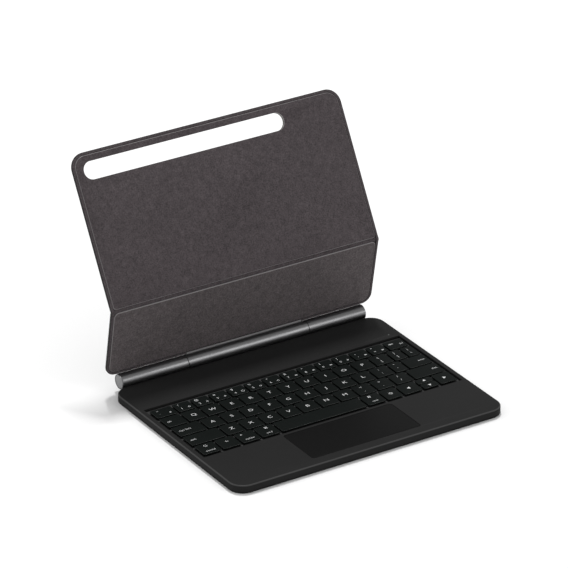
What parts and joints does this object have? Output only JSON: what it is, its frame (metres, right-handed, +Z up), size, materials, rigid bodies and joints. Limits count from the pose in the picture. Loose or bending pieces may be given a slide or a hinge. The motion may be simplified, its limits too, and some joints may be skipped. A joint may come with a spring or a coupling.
{
  "type": "tablet keyboard case",
  "caption": "Folding two-panel tablet cover on a full-width friction hinge over a thin base with keys and a trackpad.",
  "frame": {"origin": "centre of the base's underside, which lies on the desk", "axes": "+Z up, +X to the right of the person typing, +Y away from them; the hinge runs along X at the rear"},
  "size_m": [0.2576, 0.2581, 0.1932],
  "materials": {
    "cover_skin": "matte, very fine grain, moulded polyurethane",
    "lining": "brushed microfibre",
    "deck": "matte",
    "trackpad": "satin",
    "stiffener": "glass-fibre board",
    "steel": "stamped or turned",
    "magnet": "nickel plated",
    "barrel": "dark anodised, brushed along its length",
    "leaf": "satin",
    "circuit_board": "solder mask",
    "film": "printed polyester film",
    "dome_rubber": "silicone",
    "battery": "foil pouch",
    "switch_plastic": "satin",
    "light": "clear light guide",
    "key_cap": "matte, printed legends"
  },
  "bodies": {
    "base": {"base_skin": "cover_skin", "bottom_plate": "steel", "keyboard_deck": "deck", "key_support_plate": "steel", "key_circuit_sheet": "film", "rubber_domes": "dome_rubber", "main_circuit_board": "circuit_board", "battery_cells": "battery", "trackpad_switch": "switch_plastic", "trackpad_leaf_spring": "steel", "charge_port": "steel", "port_circuit_board": "circuit_board", "power_switch_body": "switch_plastic", "status_light": "light", "base_magnets": "magnet", "hinge_barrel_left": "barrel", "hinge_barrel_right": "barrel", "hinge_end_caps": "leaf", "hinge_brackets": "steel", "bracket_screws": "steel", "hinge_shafts": "steel"},
    "lower_panel": {"hinge_barrel_middle": "barrel", "hinge_leaf": "leaf", "friction_clutches": "steel", "leaf_rivets": "steel", "lower_stiffener": "stiffener", "lower_skin": "cover_skin", "lower_lining": "lining", "crease_strip": "lining"},
    "upper_panel": {"upper_stiffener": "stiffener", "upper_skin": "cover_skin", "upper_lining": "lining", "tablet_magnets": "magnet"},
    "trackpad": {"trackpad_plate": "trackpad", "trackpad_circuit_board": "circuit_board"},
    "power_switch": {"power_switch_knob": "switch_plastic"},
    "key_backquote": {"key_backquote": "key_cap"},
    "keys_number_row": {"keys_number_row": "key_cap"},
    "key_delete": {"key_delete": "key_cap"},
    "key_tab": {"key_tab": "key_cap"},
    "keys_upper_row": {"keys_upper_row": "key_cap"},
    "key_backslash": {"key_backslash": "key_cap"},
    "key_caps_lock": {"key_caps_lock": "key_cap"},
    "keys_home_row": {"keys_home_row": "key_cap"},
    "key_quote": {"key_quote": "key_cap"},
    "key_enter": {"key_enter": "key_cap"},
    "key_shift_left": {"key_shift_left": "key_cap"},
    "keys_lower_row": {"keys_lower_row": "key_cap"},
    "key_shift_right": {"key_shift_right": "key_cap"},
    "key_control": {"key_control": "key_cap"},
    "key_function": {"key_function": "key_cap"},
    "key_option": {"key_option": "key_cap"},
    "key_command_left": {"key_command_left": "key_cap"},
    "space_bar_key": {"space_bar": "key_cap"},
    "key_command_right": {"key_command_right": "key_cap"},
    "key_backlight": {"key_backlight": "key_cap"},
    "key_arrow_left": {"key_arrow_left": "key_cap"},
    "key_arrow_up": {"key_arrow_up": "key_cap"},
    "key_arrow_down": {"key_arrow_down": "key_cap"},
    "key_arrow_right": {"key_arrow_right": "key_cap"}
  },
  "joints": [
    {"name": "cover_hinge", "type": "hinge", "parent": "base", "child": "lower_panel", "pos_m": [0, 0.1026, 0.01027], "axis": [1, 0, 0], "range_deg": [-20, 79.54]},
    {"name": "cover_crease", "type": "hinge", "parent": "lower_panel", "child": "upper_panel", "pos_m": [0, 0.0937, 0.0794], "axis": [1, 0, 0], "range_deg": [-15, 40.24], "deforming": ["crease_strip"]},
    {"name": "clickpad_press", "type": "hinge", "parent": "base", "child": "trackpad", "pos_m": [0, -0.0424, 0.0069], "axis": [1, 0, 0], "range_deg": [0, 0.5], "stiffness_Nm_per_rad": 3, "springref_deg": -0.57},
    {"name": "power_switch_slide", "type": "slide", "parent": "base", "child": "power_switch", "axis": [0, 1, 0], "range_m": [0, 0.002]},
    {"name": "key_backquote_press", "type": "slide", "parent": "base", "child": "key_backquote", "axis": [0, 0, -1], "range_m": [0, 0.001], "stiffness_N_per_m": 200, "springref_m": -0.001},
    {"name": "keys_number_row_press", "type": "slide", "parent": "base", "child": "keys_number_row", "axis": [0, 0, -1], "range_m": [0, 0.001], "stiffness_N_per_m": 2400, "springref_m": -0.001},
    {"name": "key_delete_press", "type": "slide", "parent": "base", "child": "key_delete", "axis": [0, 0, -1], "range_m": [0, 0.001], "stiffness_N_per_m": 200, "springref_m": -0.001},
    {"name": "key_tab_press", "type": "slide", "parent": "base", "child": "key_tab", "axis": [0, 0, -1], "range_m": [0, 0.001], "stiffness_N_per_m": 200, "springref_m": -0.001},
    {"name": "keys_upper_row_press", "type": "slide", "parent": "base", "child": "keys_upper_row", "axis": [0, 0, -1], "range_m": [0, 0.001], "stiffness_N_per_m": 2400, "springref_m": -0.001},
    {"name": "key_backslash_press", "type": "slide", "parent": "base", "child": "key_backslash", "axis": [0, 0, -1], "range_m": [0, 0.001], "stiffness_N_per_m": 200, "springref_m": -0.001},
    {"name": "key_caps_lock_press", "type": "slide", "parent": "base", "child": "key_caps_lock", "axis": [0, 0, -1], "range_m": [0, 0.001], "stiffness_N_per_m": 200, "springref_m": -0.001},
    {"name": "keys_home_row_press", "type": "slide", "parent": "base", "child": "keys_home_row", "axis": [0, 0, -1], "range_m": [0, 0.001], "stiffness_N_per_m": 2000, "springref_m": -0.001},
    {"name": "key_quote_press", "type": "slide", "parent": "base", "child": "key_quote", "axis": [0, 0, -1], "range_m": [0, 0.001], "stiffness_N_per_m": 200, "springref_m": -0.001},
    {"name": "key_enter_press", "type": "slide", "parent": "base", "child": "key_enter", "axis": [0, 0, -1], "range_m": [0, 0.001], "stiffness_N_per_m": 200, "springref_m": -0.001},
    {"name": "key_shift_left_press", "type": "slide", "parent": "base", "child": "key_shift_left", "axis": [0, 0, -1], "range_m": [0, 0.001], "stiffness_N_per_m": 200, "springref_m": -0.001},
    {"name": "keys_lower_row_press", "type": "slide", "parent": "base", "child": "keys_lower_row", "axis": [0, 0, -1], "range_m": [0, 0.001], "stiffness_N_per_m": 2000, "springref_m": -0.001},
    {"name": "key_shift_right_press", "type": "slide", "parent": "base", "child": "key_shift_right", "axis": [0, 0, -1], "range_m": [0, 0.001], "stiffness_N_per_m": 200, "springref_m": -0.001},
    {"name": "key_control_press", "type": "slide", "parent": "base", "child": "key_control", "axis": [0, 0, -1], "range_m": [0, 0.001], "stiffness_N_per_m": 200, "springref_m": -0.001},
    {"name": "key_function_press", "type": "slide", "parent": "base", "child": "key_function", "axis": [0, 0, -1], "range_m": [0, 0.001], "stiffness_N_per_m": 200, "springref_m": -0.001},
    {"name": "key_option_press", "type": "slide", "parent": "base", "child": "key_option", "axis": [0, 0, -1], "range_m": [0, 0.001], "stiffness_N_per_m": 200, "springref_m": -0.001},
    {"name": "key_command_left_press", "type": "slide", "parent": "base", "child": "key_command_left", "axis": [0, 0, -1], "range_m": [0, 0.001], "stiffness_N_per_m": 200, "springref_m": -0.001},
    {"name": "key_space_press", "type": "slide", "parent": "base", "child": "space_bar_key", "axis": [0, 0, -1], "range_m": [0, 0.001], "stiffness_N_per_m": 200, "springref_m": -0.001},
    {"name": "key_command_right_press", "type": "slide", "parent": "base", "child": "key_command_right", "axis": [0, 0, -1], "range_m": [0, 0.001], "stiffness_N_per_m": 200, "springref_m": -0.001},
    {"name": "key_backlight_press", "type": "slide", "parent": "base", "child": "key_backlight", "axis": [0, 0, -1], "range_m": [0, 0.001], "stiffness_N_per_m": 200, "springref_m": -0.001},
    {"name": "key_arrow_left_press", "type": "slide", "parent": "base", "child": "key_arrow_left", "axis": [0, 0, -1], "range_m": [0, 0.001], "stiffness_N_per_m": 200, "springref_m": -0.001},
    {"name": "key_arrow_up_press", "type": "slide", "parent": "base", "child": "key_arrow_up", "axis": [0, 0, -1], "range_m": [0, 0.001], "stiffness_N_per_m": 200, "springref_m": -0.001},
    {"name": "key_arrow_down_press", "type": "slide", "parent": "base", "child": "key_arrow_down", "axis": [0, 0, -1], "range_m": [0, 0.001], "stiffness_N_per_m": 200, "springref_m": -0.001},
    {"name": "key_arrow_right_press", "type": "slide", "parent": "base", "child": "key_arrow_right", "axis": [0, 0, -1], "range_m": [0, 0.001], "stiffness_N_per_m": 200, "springref_m": -0.001}
  ]
}
